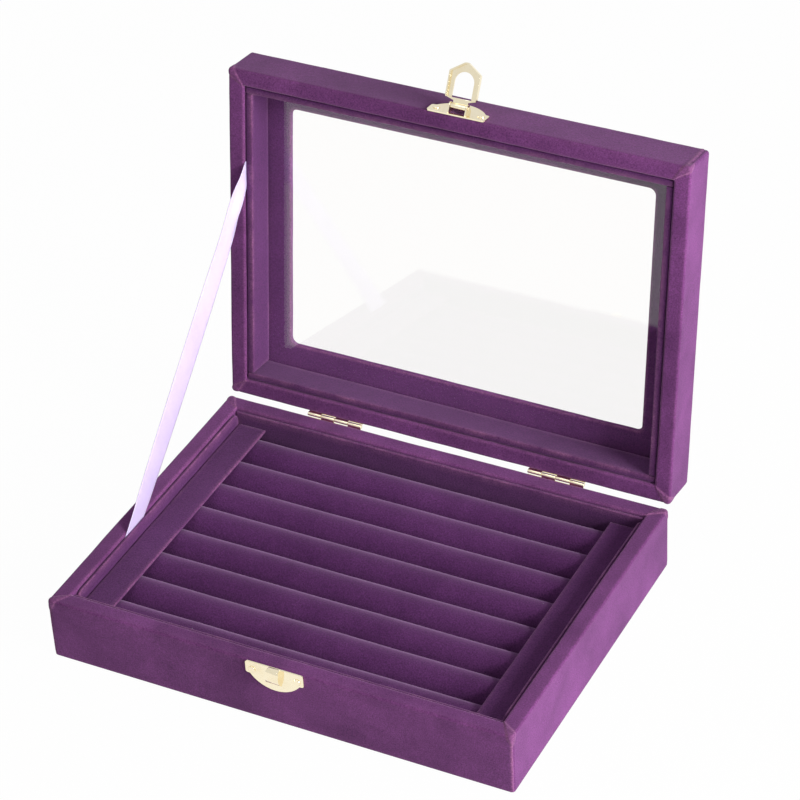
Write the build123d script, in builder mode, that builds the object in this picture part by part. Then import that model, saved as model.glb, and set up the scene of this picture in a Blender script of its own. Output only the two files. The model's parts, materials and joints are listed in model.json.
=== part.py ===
from build123d import *
import os

os.makedirs("parts", exist_ok=True)

# A velvet-covered ring display box: a low case with eight ring rolls, and a hinged lid with a
# glass window, shown standing open on its ribbon stay. Millimetres and degrees.
# Origin at the centre of the underside, +X to the right, +Y towards the hinges, +Z up.
# Everything on the lid is drawn with the lid shut and then swung open.

# ---- Case, measured over the velvet ----
case_length = 200.0
case_width = 148.0
base_height = 28.2
lid_height = 18.8
rim_gap = 0.8  # between the two rims of the shut box
lid_open_angle = 97.8  # where the ribbon stay pulls tight

# ---- Boards and the velvet glued over them ----
board_thickness = 6.0
floor_thickness = 2.5
velvet = 0.5
corner_radius = 1.5  # upright corners
rim_radius = 1.0  # both edges of a rim
lid_edge_radius = 1.0  # round the top of the lid
base_turn_down = 14.0  # velvet carried down inside the base
lid_turn_down = 8.0  # and up inside the lid
turn_under = 8.0  # and under the floor
bottom_sheet_thickness = 0.5  # covers the turned-under velvet
bottom_sheet_inset = 1.0
fit_gap = 0.2  # side play of anything laid in place

# ---- Velvet-covered liners inside the walls ----
crease = 0.4  # slit between a wall and its liner
base_liner_thickness = 1.2
lid_liner_thickness = 2.8
liner_setback = 1.0  # liners stop this far short of the rim
liner_corner_radius = 3.5  # upper corners of the base's side liners

# ---- Tray of ring rolls ----
backing_thickness = 1.0
roll_count = 8
roll_gap = 0.15
roll_height = 15.9
roll_foot_radius = 2.0
end_strip_width = 12.6
end_strip_thickness = 1.4
end_strip_edge_radius = 0.6
end_strip_lift = 0.1  # above the crests of the rolls

# ---- Glass window of the lid ----
window_length = 160.0
window_width = 107.8
window_radius = 3.0
card_thickness = 1.1
lining_thickness = 0.5
glass_thickness = 1.8
glass_play = 0.3  # glass to boards, all round
glass_lift = 0.1  # glass to lining

# ---- Two butt hinges on the back ----
hinge_spacing = 101.0  # between their centres
hinge_length = 24.8
knuckle_count = 4
knuckle_gap = 0.2
leaf_thickness = 0.35
leaf_height = 9.5  # from the hinge axis
leaf_corner_radius = 1.2
hinge_pin_radius = 0.5
hinge_pin_clearance = 0.05
hinge_nail_spacing = 15.0
hinge_nail_drop = 6.2  # from the hinge axis

# ---- Half-moon plates of the catch and the latch ----
fastener_x = 0.8  # both stand a little right of the middle
plate_thickness = 0.6
plate_width = 25.0
plate_depth = 11.0
plate_shoulder = 5.6  # height of the straight ends
plate_belly_width = 21.4  # chord of the round part
plate_corner_radius = 1.0
plate_inset = 0.1  # from a rim to the flat edge
plate_nail_spacing = 19.4
plate_nail_drop = 3.6  # from the flat edge

# ---- Catch tongue, hollow in the real one ----
tongue_width = 5.8
tongue_reach = 2.5  # its belly, in front of the plate
tongue_tip_reach = 1.0
tongue_tip_radius = 2.4
tongue_root_clearance = 1.0  # inside the hasp's opening, below and above
tongue_tip_clearance = 0.6

# ---- Latch pin, ears and hasp ----
latch_pin_radius = 0.6
latch_pin_clearance = 0.05
latch_pin_rise = 3.7  # above the plate's flat edge
latch_pin_standoff = 1.9  # in front of the plate
latch_pin_overhang = 0.5  # beyond each ear
ear_play = 0.2  # hasp to ear
ear_root_height = 5.2
ear_round_radius = 1.5
hasp_thickness = 0.6
hasp_web_width = 6.4
hasp_web_length = 2.2  # all hasp lengths run from the pin
hasp_shoulder_length = 3.2
hasp_side_length = 13.6
hasp_length = 18.0
hasp_width = 13.4
hasp_corner_radius = 0.9
hasp_tip_radius = 2.0
hasp_opening_width = 8.4
hasp_opening_start = 3.2
hasp_opening_end = 13.8
hasp_skirt = 1.7
hasp_rest_angle = 112.0  # from latched, as it stands in the rest pose

# ---- Nails ----
nail_radius = 0.45
nail_length = 5.0  # head's underside to point
nail_clearance = 0.02
nail_head_radius = 1.5
nail_head_height = 0.5
nail_head_edge = 0.4

# ---- Ribbon stay, in the left crease ----
stay_width = 10.0
stay_thickness = 0.3
stay_base_y = -18.5  # where its middle leaves the base
stay_lid_y = -26.3  # where its middle enters the shut lid
stay_base_tuck = 8.5
stay_lid_tuck = 6.0

# ---- Places that follow from the sizes ----
wall = board_thickness + 2 * velvet
carcass_length = case_length - 2 * velvet
carcass_width = case_width - 2 * velvet
inner_length = case_length - 2 * wall
inner_width = case_width - 2 * wall
wood_inner_length = inner_length + 2 * velvet
wood_inner_width = inner_width + 2 * velvet
front_y = -case_width / 2
back_y = case_width / 2

floor_low = bottom_sheet_thickness + velvet
floor_top = floor_low + floor_thickness
base_liner_top = base_height - liner_setback
backing_top = floor_top + backing_thickness
roll_top = backing_top + roll_height
tray_length = inner_length - 2 * (crease + base_liner_thickness)
tray_width = inner_width - 2 * (crease + base_liner_thickness)
roll_pitch = tray_width / roll_count
roll_width = roll_pitch - roll_gap
roll_length = tray_length - 2 * fit_gap
strip_low = roll_top + end_strip_lift

lid_rim = base_height + rim_gap
lid_top = lid_rim + lid_height
card_low = lid_top - velvet - card_thickness
lining_low = card_low - lining_thickness
glass_low = lining_low - glass_lift - glass_thickness
lid_liner_low = lid_rim + liner_setback

hinge_bore_radius = hinge_pin_radius + hinge_pin_clearance
barrel_radius = hinge_bore_radius + leaf_thickness
hinge_y = back_y + barrel_radius
hinge_z = base_height + rim_gap / 2
hinge_axis = Axis((0, hinge_y, hinge_z), (1, 0, 0))
knuckle_step = (hinge_length + knuckle_gap) / knuckle_count
knuckle_length = knuckle_step - knuckle_gap

catch_flat_z = base_height - plate_inset
latch_flat_z = lid_rim + plate_inset
latch_pin_y = front_y - plate_thickness - latch_pin_standoff
latch_pin_z = latch_flat_z + latch_pin_rise
latch_axis = Axis((0, latch_pin_y, latch_pin_z), (1, 0, 0))
ear_inner_x = hasp_web_width / 2 + ear_play
hasp_bore_radius = latch_pin_radius + latch_pin_clearance
hasp_barrel_radius = hasp_bore_radius + hasp_thickness
hasp_front_y = latch_pin_y - hasp_barrel_radius
tongue_root_z = latch_pin_z - hasp_opening_end + tongue_root_clearance
tongue_tip_z = latch_pin_z - hasp_opening_start - tongue_tip_clearance

# Outer faces of the metal on the front and the back, seen from outside the box
plate_face = Plane((fastener_x, front_y - plate_thickness, 0), x_dir=(1, 0, 0), z_dir=(0, -1, 0))
leaf_face = Plane((0, back_y + leaf_thickness, 0), x_dir=(-1, 0, 0), z_dir=(0, 1, 0))


def save(piece, name):
    """Label a finished piece and write it to its own file."""
    piece.part.label = name
    export_step(piece.part, f"parts/{name}.step")


def save_on_lid(piece, name):
    """Swing a piece of the lid from shut to open, then save it."""
    piece.part = piece.part.rotate(hinge_axis, -lid_open_angle)
    save(piece, name)


def rimmed_ring(inset, far_z, rim_z):
    """Four walls as one ring, `inset` below the velvet's face, with a rounded rim at rim_z."""
    with BuildPart() as ring:
        with BuildSketch(Plane.XY.offset(far_z)):
            RectangleRounded(
                case_length - 2 * inset, case_width - 2 * inset, corner_radius - inset
            )
            Rectangle(inner_length + 2 * inset, inner_width + 2 * inset, mode=Mode.SUBTRACT)
        extrude(amount=rim_z - far_z)
        rim = ring.faces().sort_by(Axis.Z)[-1 if rim_z > far_z else 0]
        fillet(rim.edges(), rim_radius - inset)
    return ring.part


def four_sides(length, width, thickness, end_gap=0.0):
    """Plans (x, y, length, width) of four strips round a rectangle; the side ones fit between."""
    x = (length - thickness) / 2
    y = (width - thickness) / 2
    between = width - 2 * (thickness + end_gap)
    return {
        "front": (0, -y, length, thickness),
        "back": (0, y, length, thickness),
        "left": (-x, 0, thickness, between),
        "right": (x, 0, thickness, between),
    }


def wall_board(ring, plan, holes):
    """One board: the part of the wooden ring that stands on the plan, with its nail holes."""
    x, y, length, width = plan
    with BuildPart() as board:
        add(ring)
        with BuildSketch():
            with Locations((x, y)):
                Rectangle(length, width)
        extrude(amount=lid_top, mode=Mode.INTERSECT)
        add(holes, mode=Mode.SUBTRACT)
    return board


def strip(plan, low, high):
    """An upright or flat strip on a plan, from low to high."""
    x, y, length, width = plan
    with BuildPart() as piece:
        with BuildSketch(Plane.XY.offset(low)):
            with Locations((x, y)):
                Rectangle(length, width)
        extrude(amount=high - low)
    return piece


def nail_places(spacing, z, middle=0.0):
    """Two nails side by side on a face."""
    return [(middle - spacing / 2, z), (middle + spacing / 2, z)]


def nail_set(face, places):
    """Domed nails driven in through a metal face."""
    with BuildPart() as nails:
        with BuildSketch(face):
            with Locations(*places):
                Circle(nail_radius)
        extrude(amount=-nail_length)
        with BuildSketch(face):
            with Locations(*places):
                Circle(nail_head_radius)
        extrude(amount=nail_head_height)
        crowns = nails.edges().group_by(Axis(face.origin, face.z_dir))[-1]
        fillet(crowns, nail_head_edge)
    return nails


def nail_holes(face, places):
    """The holes of those nails through metal, velvet and board."""
    with BuildPart() as holes:
        with BuildSketch(face):
            with Locations(*places):
                Circle(nail_radius + nail_clearance)
        extrude(amount=-nail_length - nail_clearance)
    return holes.part


def half_moon(flat_z, way):
    """A plate with a flat edge, short upright ends and a round belly, up (way 1) or down (-1)."""
    half = plate_width / 2
    belly = plate_belly_width / 2
    shoulder_z = flat_z + way * plate_shoulder
    with BuildPart() as plate:
        with BuildSketch(plate_face) as outline:
            with BuildLine():
                Polyline(
                    (-belly, shoulder_z),
                    (-half, shoulder_z),
                    (-half, flat_z),
                    (half, flat_z),
                    (half, shoulder_z),
                    (belly, shoulder_z),
                )
                ThreePointArc(
                    (belly, shoulder_z), (0, flat_z + way * plate_depth), (-belly, shoulder_z)
                )
            make_face()
            ends = outline.vertices().group_by(Axis.X)
            fillet(ends[0] + ends[-1], plate_corner_radius)
        extrude(amount=-plate_thickness)
    return plate.part


def hinge_leaf(middle, owned, way, holes):
    """One leaf with its share of the knuckles: the lid's leaf (way 1) or the base's (-1)."""
    clear = barrel_radius + knuckle_gap
    with BuildPart() as leaf:
        with BuildSketch(Plane.XZ.offset(-back_y - leaf_thickness)) as blank:
            with Locations((middle, hinge_z + way * (clear + leaf_height) / 2)):
                Rectangle(hinge_length, leaf_height - clear)
            fillet(blank.vertices().group_by(Axis.Y)[-1 if way > 0 else 0], leaf_corner_radius)
        extrude(amount=leaf_thickness)
        for knuckle in owned:
            start_x = middle - hinge_length / 2 + knuckle * knuckle_step
            with BuildSketch(Plane.YZ.offset(start_x)):
                with Locations((hinge_y, hinge_z)):
                    Circle(barrel_radius)
                with Locations((back_y + leaf_thickness / 2, hinge_z + way * clear / 2)):
                    Rectangle(leaf_thickness, clear)
                with Locations((hinge_y, hinge_z)):
                    Circle(hinge_bore_radius, mode=Mode.SUBTRACT)
            extrude(amount=knuckle_length)
        add(holes, mode=Mode.SUBTRACT)
    return leaf


# ---- Nails and the holes they need ----
hinge_middles = {"left": -hinge_spacing / 2, "right": hinge_spacing / 2}
catch_places = nail_places(plate_nail_spacing, catch_flat_z - plate_nail_drop)
latch_places = nail_places(plate_nail_spacing, latch_flat_z + plate_nail_drop)
base_hinge_places = []
lid_hinge_places = []
for middle in hinge_middles.values():
    base_hinge_places += nail_places(hinge_nail_spacing, hinge_z - hinge_nail_drop, middle)
    lid_hinge_places += nail_places(hinge_nail_spacing, hinge_z + hinge_nail_drop, middle)

catch_holes = nail_holes(plate_face, catch_places)
latch_holes = nail_holes(plate_face, latch_places)
base_hinge_holes = nail_holes(leaf_face, base_hinge_places)
lid_hinge_holes = nail_holes(leaf_face, lid_hinge_places)
base_holes = [catch_holes, base_hinge_holes]
lid_holes = [latch_holes, lid_hinge_holes]

save(nail_set(plate_face, catch_places), "catch_nails")
save(nail_set(leaf_face, base_hinge_places), "hinge_base_nails")
save_on_lid(nail_set(plate_face, latch_places), "latch_nails")
save_on_lid(nail_set(leaf_face, lid_hinge_places), "hinge_lid_nails")

# ---- Base: floor, walls, velvet and bottom sheet ----
with BuildPart() as base_floor_board:
    with BuildSketch(Plane.XY.offset(floor_low)):
        RectangleRounded(carcass_length, carcass_width, corner_radius - velvet)
    extrude(amount=floor_thickness)
save(base_floor_board, "base_floor_board")

base_wood_ring = rimmed_ring(velvet, floor_top, base_height - velvet)
for side, plan in four_sides(carcass_length, carcass_width, board_thickness).items():
    save(wall_board(base_wood_ring, plan, base_holes), f"base_wall_{side}")

base_velvet_ring = rimmed_ring(0, bottom_sheet_thickness, base_height)
base_velvet_core = rimmed_ring(velvet, floor_low, base_height - velvet)
with BuildPart() as base_velvet:
    add(base_velvet_ring)
    with BuildSketch(Plane.XY.offset(bottom_sheet_thickness)):
        RectangleRounded(case_length, case_width, corner_radius)
        Rectangle(
            case_length - 2 * turn_under, case_width - 2 * turn_under, mode=Mode.SUBTRACT
        )
    extrude(amount=velvet)
    add(base_velvet_core, mode=Mode.SUBTRACT)
    with BuildSketch(Plane.XY.offset(floor_low)):
        Rectangle(wood_inner_length, wood_inner_width)
    extrude(amount=base_height - base_turn_down - floor_low, mode=Mode.SUBTRACT)
    add(base_holes, mode=Mode.SUBTRACT)
save(base_velvet, "base_velvet")

with BuildPart() as base_bottom_sheet:
    with BuildSketch():
        RectangleRounded(
            case_length - 2 * bottom_sheet_inset,
            case_width - 2 * bottom_sheet_inset,
            corner_radius - bottom_sheet_inset,
        )
    extrude(amount=bottom_sheet_thickness)
save(base_bottom_sheet, "base_bottom_sheet")

# ---- Base liners: the side ones have rounded upper corners ----
base_liner_plans = four_sides(
    inner_length - 2 * crease, inner_width - 2 * crease, base_liner_thickness, fit_gap
)
for side, plan in base_liner_plans.items():
    with BuildPart() as base_liner:
        add(strip(plan, floor_top, base_liner_top).part)
        if side in ("left", "right"):
            upper_corners = base_liner.edges().filter_by(Axis.X).group_by(Axis.Z)[-1]
            fillet(upper_corners, liner_corner_radius)
    save(base_liner, f"base_liner_{side}")

# ---- Tray: backing card, ring rolls and the end strips that cover the rolls' ends ----
with BuildPart() as roll_backing_card:
    with BuildSketch(Plane.XY.offset(floor_top)):
        Rectangle(tray_length - 2 * fit_gap, tray_width - 2 * fit_gap)
    extrude(amount=backing_thickness)
save(roll_backing_card, "roll_backing_card")

roll_spring_z = roll_top - roll_width / 2
for number in range(roll_count):
    roll_y = (number - (roll_count - 1) / 2) * roll_pitch
    roll_front = roll_y - roll_width / 2
    roll_back = roll_y + roll_width / 2
    with BuildPart() as ring_roll:
        with BuildSketch(Plane.YZ.offset(-roll_length / 2)) as roll_section:
            with BuildLine():
                Polyline(
                    (roll_front, roll_spring_z),
                    (roll_front, backing_top),
                    (roll_back, backing_top),
                    (roll_back, roll_spring_z),
                )
                ThreePointArc(
                    (roll_back, roll_spring_z), (roll_y, roll_top), (roll_front, roll_spring_z)
                )
            make_face()
            fillet(roll_section.vertices().group_by(Axis.Y)[0], roll_foot_radius)
        extrude(amount=roll_length)
    save(ring_roll, f"ring_roll_{roll_count - number}")

for side, way in (("left", -1), ("right", 1)):
    strip_middle = way * (roll_length - end_strip_width) / 2
    strip_plan = (strip_middle, 0, end_strip_width, tray_width - 2 * fit_gap)
    with BuildPart() as end_strip:
        add(strip(strip_plan, strip_low, strip_low + end_strip_thickness).part)
        upper_edges = end_strip.edges().filter_by(Axis.Y).group_by(Axis.Z)[-1]
        fillet(upper_edges, end_strip_edge_radius)
    save(end_strip, f"end_strip_{side}")

# ---- Catch: a half-moon plate with a pressed-out tongue ----
catch_blank = half_moon(catch_flat_z, -1)
with BuildPart() as catch_plate:
    with BuildSketch(Plane.YZ.offset(fastener_x - tongue_width / 2)):
        with BuildLine():
            ThreePointArc(
                (front_y - plate_thickness / 2, tongue_root_z),
                (
                    front_y - plate_thickness - tongue_reach,
                    (tongue_root_z + tongue_tip_z) / 2,
                ),
                (front_y - plate_thickness - tongue_tip_reach, tongue_tip_z),
            )
            Polyline(
                (front_y - plate_thickness - tongue_tip_reach, tongue_tip_z),
                (front_y - plate_thickness / 2, catch_flat_z),
                (front_y - plate_thickness / 2, tongue_root_z),
            )
        make_face()
    extrude(amount=tongue_width)
    with BuildSketch(plate_face) as tongue_outline:
        with Locations((0, (tongue_root_z + tongue_tip_z) / 2)):
            Rectangle(tongue_width, tongue_tip_z - tongue_root_z)
        fillet(tongue_outline.vertices().group_by(Axis.Y)[-1], tongue_tip_radius)
    extrude(amount=2 * tongue_reach, both=True, mode=Mode.INTERSECT)
    add(catch_blank)
    add(catch_holes, mode=Mode.SUBTRACT)
save(catch_plate, "catch_plate")

# ---- Hinges ----
last_knuckle = knuckle_count - 1
lid_knuckles = range(0, knuckle_count, 2)
base_knuckles = range(1, knuckle_count, 2)
for side, middle in hinge_middles.items():
    save(hinge_leaf(middle, base_knuckles, -1, base_hinge_holes), f"hinge_{side}_base_leaf")
    save_on_lid(hinge_leaf(middle, lid_knuckles, 1, lid_hinge_holes), f"hinge_{side}_lid_leaf")
    with BuildPart() as hinge_pin:
        with BuildSketch(Plane.YZ.offset(middle - hinge_length / 2)):
            with Locations((hinge_y, hinge_z)):
                Circle(hinge_pin_radius)
        extrude(amount=hinge_length)
    save(hinge_pin, f"hinge_{side}_pin")

# ---- Lid: walls, window frame, velvet, lining and glass ----
lid_wood_ring = rimmed_ring(velvet, card_low, lid_rim + velvet)
for side, plan in four_sides(carcass_length, carcass_width, board_thickness).items():
    save_on_lid(wall_board(lid_wood_ring, plan, lid_holes), f"lid_wall_{side}")

with BuildPart() as window_frame_card:
    with BuildSketch(Plane.XY.offset(card_low)):
        RectangleRounded(carcass_length, carcass_width, corner_radius - velvet)
        RectangleRounded(
            window_length + 2 * velvet,
            window_width + 2 * velvet,
            window_radius + velvet,
            mode=Mode.SUBTRACT,
        )
    extrude(amount=card_thickness)
    card_face = window_frame_card.faces().sort_by(Axis.Z)[-1]
    fillet(card_face.outer_wire().edges(), lid_edge_radius - velvet)
frame_card_solid = window_frame_card.part
save_on_lid(window_frame_card, "window_frame_card")

lid_velvet_ring = rimmed_ring(0, card_low, lid_rim)
with BuildPart() as lid_velvet:
    add(lid_velvet_ring)
    with BuildSketch(Plane.XY.offset(card_low)):
        RectangleRounded(case_length, case_width, corner_radius)
        RectangleRounded(window_length, window_width, window_radius, mode=Mode.SUBTRACT)
    extrude(amount=lid_top - card_low)
    top_face = lid_velvet.faces().sort_by(Axis.Z)[-1]
    fillet(top_face.outer_wire().edges(), lid_edge_radius)
    add([lid_wood_ring, frame_card_solid], mode=Mode.SUBTRACT)
    with BuildSketch(Plane.XY.offset(lid_rim + lid_turn_down)):
        Rectangle(wood_inner_length, wood_inner_width)
    extrude(amount=card_low - lid_rim - lid_turn_down, mode=Mode.SUBTRACT)
    add(lid_holes, mode=Mode.SUBTRACT)
save_on_lid(lid_velvet, "lid_velvet")

with BuildPart() as window_lining:
    with BuildSketch(Plane.XY.offset(lining_low)):
        Rectangle(wood_inner_length - 2 * fit_gap, wood_inner_width - 2 * fit_gap)
        RectangleRounded(window_length, window_width, window_radius, mode=Mode.SUBTRACT)
    extrude(amount=lining_thickness)
save_on_lid(window_lining, "window_lining")

with BuildPart() as glass_pane:
    with BuildSketch(Plane.XY.offset(glass_low)):
        Rectangle(wood_inner_length - 2 * glass_play, wood_inner_width - 2 * glass_play)
    extrude(amount=glass_thickness)
save_on_lid(glass_pane, "glass_pane")

# ---- Lid liners: they hold the glass up against the lining ----
lid_liner_plans = four_sides(
    inner_length - 2 * crease, inner_width - 2 * crease, lid_liner_thickness, fit_gap
)
for side, plan in lid_liner_plans.items():
    save_on_lid(strip(plan, lid_liner_low, glass_low), f"lid_liner_{side}")

# ---- Latch plate: a half-moon whose window flaps are bent out as ears for the pin ----
latch_blank = half_moon(latch_flat_z, 1)
with BuildPart() as latch_plate:
    add(latch_blank)
    with BuildSketch(plate_face):
        with Locations((0, latch_pin_z)):
            Rectangle(2 * ear_inner_x, ear_root_height)
    extrude(amount=-plate_thickness, mode=Mode.SUBTRACT)
    for ear_x in (-ear_inner_x - plate_thickness, ear_inner_x):
        with BuildSketch(Plane.YZ.offset(fastener_x + ear_x)):
            with Locations((front_y - plate_thickness / 2, latch_pin_z)):
                Rectangle(plate_thickness, ear_root_height)
            with Locations((latch_pin_y, latch_pin_z)):
                Circle(ear_round_radius)
            make_hull()
            with Locations((latch_pin_y, latch_pin_z)):
                Circle(hasp_bore_radius, mode=Mode.SUBTRACT)
        extrude(amount=plate_thickness)
    add(latch_holes, mode=Mode.SUBTRACT)
save_on_lid(latch_plate, "latch_plate")

pin_half_length = ear_inner_x + plate_thickness + latch_pin_overhang
with BuildPart() as latch_pin:
    with BuildSketch(Plane.YZ.offset(fastener_x - pin_half_length)):
        with Locations((latch_pin_y, latch_pin_z)):
            Circle(latch_pin_radius)
    extrude(amount=2 * pin_half_length)
save_on_lid(latch_pin, "latch_pin")

# ---- Hasp: a stamped loop with a skirt, curled round the pin; drawn latched ----
hasp_face = Plane((fastener_x, hasp_front_y, latch_pin_z), x_dir=(1, 0, 0), z_dir=(0, -1, 0))
with BuildPart() as hasp:
    with BuildSketch(hasp_face) as sheet:
        with BuildLine():
            Polyline(
                (hasp_web_width / 2, 0),
                (hasp_web_width / 2, -hasp_web_length),
                (hasp_width / 2, -hasp_shoulder_length),
                (hasp_width / 2, -hasp_side_length),
                (0, -hasp_length),
                (-hasp_width / 2, -hasp_side_length),
                (-hasp_width / 2, -hasp_shoulder_length),
                (-hasp_web_width / 2, -hasp_web_length),
                (-hasp_web_width / 2, 0),
                close=True,
            )
        make_face()
        fillet(sheet.vertices().group_by(Axis.Y)[0], hasp_tip_radius)
        edge_corners = sheet.vertices().group_by(Axis.X)
        fillet(edge_corners[0] + edge_corners[-1], hasp_corner_radius)
    extrude(amount=-hasp_thickness)
    with BuildSketch(hasp_face):
        add(sheet.sketch_local)
        offset(sheet.sketch_local, amount=-hasp_thickness, mode=Mode.SUBTRACT)
        Rectangle(hasp_width, 2 * hasp_shoulder_length, mode=Mode.SUBTRACT)
    extrude(amount=-hasp_skirt)
    with BuildSketch(Plane.YZ.offset(fastener_x - hasp_web_width / 2)):
        with Locations((latch_pin_y, latch_pin_z)):
            Circle(hasp_barrel_radius)
    extrude(amount=hasp_web_width)
    with BuildSketch(Plane.YZ.offset(fastener_x - hasp_web_width / 2)):
        with Locations((latch_pin_y, latch_pin_z)):
            Circle(hasp_bore_radius)
    extrude(amount=hasp_web_width, mode=Mode.SUBTRACT)
    opening_arch = hasp_opening_width / 2
    with BuildSketch(hasp_face):
        with Locations((0, -(hasp_opening_start + hasp_opening_end - opening_arch) / 2)):
            Rectangle(
                hasp_opening_width, hasp_opening_end - opening_arch - hasp_opening_start
            )
        with Locations((0, -(hasp_opening_end - opening_arch))):
            Circle(opening_arch)
    extrude(amount=-hasp_thickness, mode=Mode.SUBTRACT)
hasp.part = hasp.part.rotate(latch_axis, -hasp_rest_angle)
save_on_lid(hasp, "hasp")

# ---- Ribbon stay: flat and straight from the base's left crease to the lid's ----
stay_x = -(inner_length - crease) / 2
stay_start = Vector(stay_x, stay_base_y, base_liner_top)
stay_end = Vertex(stay_x, stay_lid_y, lid_liner_low).rotate(hinge_axis, -lid_open_angle).center()
stay_run = stay_end - stay_start
stay_plane = Plane(stay_start, x_dir=stay_run, z_dir=(1, 0, 0))
with BuildPart() as ribbon_stay:
    with BuildSketch(stay_plane):
        with Locations(((stay_run.length + stay_lid_tuck - stay_base_tuck) / 2, 0)):
            Rectangle(stay_run.length + stay_lid_tuck + stay_base_tuck, stay_width)
    extrude(amount=stay_thickness / 2, both=True)
save(ribbon_stay, "ribbon_stay")
print("ribbon stay, free length", round(stay_run.length, 1))
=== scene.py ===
"""Looks for a velvet-covered ring display box: eight padded ring rolls in a low case, and a hinged
lid with a glass window, open on its ribbon stay. Lengths are metres, in the CAD frame.

The lid is modelled shut, as in the CAD source, and then swung open about the hinge axis.
"""

import json
import math

import bmesh
import bpy
import numpy as np
from bpy.props import FloatProperty, FloatVectorProperty, IntProperty, PointerProperty
from mathutils import Matrix, Vector, noise


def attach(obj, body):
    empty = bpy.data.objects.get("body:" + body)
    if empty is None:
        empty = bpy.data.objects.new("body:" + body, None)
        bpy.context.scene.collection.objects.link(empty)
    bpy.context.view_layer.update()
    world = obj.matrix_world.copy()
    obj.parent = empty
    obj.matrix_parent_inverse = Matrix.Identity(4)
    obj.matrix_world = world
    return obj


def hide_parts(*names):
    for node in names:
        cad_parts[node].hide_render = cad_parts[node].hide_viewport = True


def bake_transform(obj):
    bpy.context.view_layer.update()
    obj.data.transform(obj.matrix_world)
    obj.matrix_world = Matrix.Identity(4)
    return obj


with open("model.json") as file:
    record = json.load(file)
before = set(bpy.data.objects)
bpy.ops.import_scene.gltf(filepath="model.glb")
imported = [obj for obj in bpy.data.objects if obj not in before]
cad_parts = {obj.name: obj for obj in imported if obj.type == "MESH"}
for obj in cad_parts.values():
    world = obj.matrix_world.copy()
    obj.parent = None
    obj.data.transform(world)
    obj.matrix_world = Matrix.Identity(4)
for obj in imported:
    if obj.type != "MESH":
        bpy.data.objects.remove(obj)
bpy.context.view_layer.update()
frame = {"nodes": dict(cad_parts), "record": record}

bl_info = {
    "name": "Ring Display Box",
    "version": (1, 0, 0),
    "blender": (4, 5, 0),
    "location": "3D View > Sidebar > Ring Box",
    "description": "Builds the velvet, padding, glass, ribbon and metal of a ring display box",
    "category": "Object",
}

MM = 0.001

# ---- How finely the velvet is cut ----
COVER_CUTS = (0.5 * MM, 2.6 * MM, 10 * MM)  # step near a corner, step elsewhere, what counts as near
BOARD_CUTS = (0.8 * MM, 3.0 * MM, 5 * MM)
LINING_CUTS = (0.8 * MM, 3.0 * MM, 8 * MM)
INSIDE_STEP, RIM_STEP, OUTSIDE_STEP, UNDER_STEP = 1.6 * MM, 0.6 * MM, 0.95 * MM, 1.5 * MM
LEAST_RADIUS = 0.4 * MM  # upright corners of a cover, where it turns in
LINER_CORNER = 0.5 * MM

# ---- Ring rolls: cuts along a roll, waves of its velvet, and how far the padding may push it ----
ROLL_STATIONS = 74
ROLL_TOP_WAVE, ROLL_SIDE_WAVE = 0.16 * MM, 0.10 * MM
MOST_SWELL, MOST_SPREAD = 0.5 * MM, 0.05 * MM
ROLL_CLOTH = {
    "vertex_group_mass": "held",
    "quality": 6,
    "mass": 0.15,
    "tension_stiffness": 12,
    "compression_stiffness": 12,
    "shear_stiffness": 6,
    "bending_stiffness": 0.4,
    "use_pressure": True,
}

# ---- Ribbon stay: thickness, how it arches and twists, and the pleat near its upper end ----
RIBBON_ROWS, RIBBON_COLUMNS = 90, 9
RIBBON_CLOTH, RIBBON_ARCH, RIBBON_TWIST, RIBBON_PLEAT = 0.18 * MM, 0.55 * MM, 0.9 * MM, 1.1 * MM

# ---- Places read from the frame ----
LID_JOINT = next(j for j in frame["record"]["behaviour"]["joints"] if j["name"] == "lid_hinge")
HINGE = np.array(LID_JOINT["pos_m"], float)
OPEN_ANGLE = math.radians(LID_JOINT["range_deg"][1])


def turned(points, angle):
    """Points turned about the lid's hinge axis."""
    p = np.asarray(points, float) - HINGE
    c, s = math.cos(angle), math.sin(angle)
    out = p.copy()
    out[..., 1] = p[..., 1] * c - p[..., 2] * s
    out[..., 2] = p[..., 1] * s + p[..., 2] * c
    return out + HINGE


def swung_open(points):
    return turned(points, -OPEN_ANGLE)


def as_placed(points):
    return np.asarray(points, float)


def node_points(name):
    mesh = frame["nodes"][name].data
    flat = np.empty(len(mesh.vertices) * 3)
    mesh.vertices.foreach_get("co", flat)
    return flat.reshape(-1, 3)


def node_box(name, on_lid=False):
    """Lowest and highest corner of a CAD node, with the lid shut if it is on the lid."""
    points = node_points(name)
    if on_lid:
        points = turned(points, OPEN_ANGLE)
    return points.min(axis=0), points.max(axis=0)


BASE_LOW, BASE_HIGH = node_box("base_velvet")
LID_LOW, LID_HIGH = node_box("lid_velvet", on_lid=True)
HALF_X, HALF_Y = BASE_HIGH[0], BASE_HIGH[1]
LINING_LOW, LINING_HIGH = node_box("window_lining", on_lid=True)
ROLLS = sorted(n for n in frame["nodes"] if n.startswith("ring_roll_"))


# ---- What a user would change ----
def length(label, about, value, low=0.0):
    return FloatProperty(
        name=label, description=about, default=value, min=low, unit="LENGTH", precision=5
    )


def colour(label, about, value):
    return FloatVectorProperty(
        name=label, description=about, default=value, size=3, min=0, max=1, subtype="COLOR"
    )


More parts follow.
